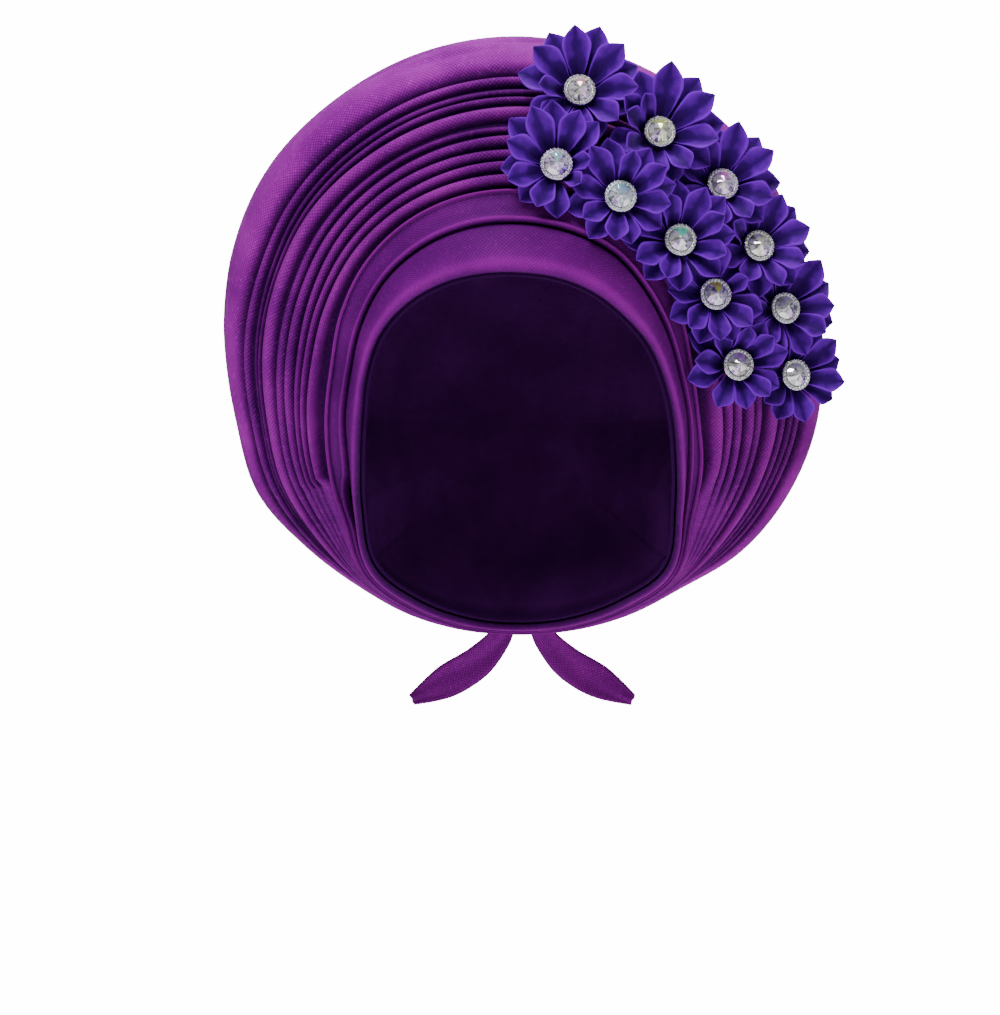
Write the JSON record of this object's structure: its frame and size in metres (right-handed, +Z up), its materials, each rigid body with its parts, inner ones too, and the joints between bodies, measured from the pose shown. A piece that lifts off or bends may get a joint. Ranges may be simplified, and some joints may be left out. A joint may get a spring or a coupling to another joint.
{
  "type": "tied gele head tie",
  "caption": "Ready-tied pleated cloth head wrap with a broad rolled rim, close cap, ribbon flowers with crystal brooches on one side and a short tie at the nape.",
  "frame": {"origin": "where the inside of the cap meets the crown of the head", "axes": "+Z up, -Y the way the wearer faces, +X to the right of someone who looks at the wearer's face"},
  "size_m": [0.2582, 0.2146, 0.2835],
  "materials": {
    "wrap_cloth": "stiff woven purple cloth with a slight sparkle",
    "cap_cloth": "plain matt stretch cloth, darker purple",
    "ribbon_satin": "blue violet satin ribbon",
    "silver": "bright silver plate set with small clear stones",
    "crystal": "clear cut crystal with a faint rainbow coating"
  },
  "bodies": {
    "root": {"cap": "cap_cloth", "forehead_band": "wrap_cloth", "inner_band": "wrap_cloth", "pleated_fan": "wrap_cloth", "outer_rim": "wrap_cloth", "back_wrap": "wrap_cloth", "tie_knot": "wrap_cloth", "tie_tail_left": "wrap_cloth", "tie_tail_right": "wrap_cloth", "flower_01": "ribbon_satin", "flower_02": "ribbon_satin", "flower_03": "ribbon_satin", "flower_04": "ribbon_satin", "flower_05": "ribbon_satin", "flower_06": "ribbon_satin", "flower_07": "ribbon_satin", "flower_08": "ribbon_satin", "flower_09": "ribbon_satin", "flower_10": "ribbon_satin", "flower_11": "ribbon_satin", "setting_01": "silver", "setting_02": "silver", "setting_03": "silver", "setting_04": "silver", "setting_05": "silver", "setting_06": "silver", "setting_07": "silver", "setting_08": "silver", "setting_09": "silver", "setting_10": "silver", "setting_11": "silver", "crystal_01": "crystal", "crystal_02": "crystal", "crystal_03": "crystal", "crystal_04": "crystal", "crystal_05": "crystal", "crystal_06": "crystal", "crystal_07": "crystal", "crystal_08": "crystal", "crystal_09": "crystal", "crystal_10": "crystal", "crystal_11": "crystal"}
  },
  "joints": []
}
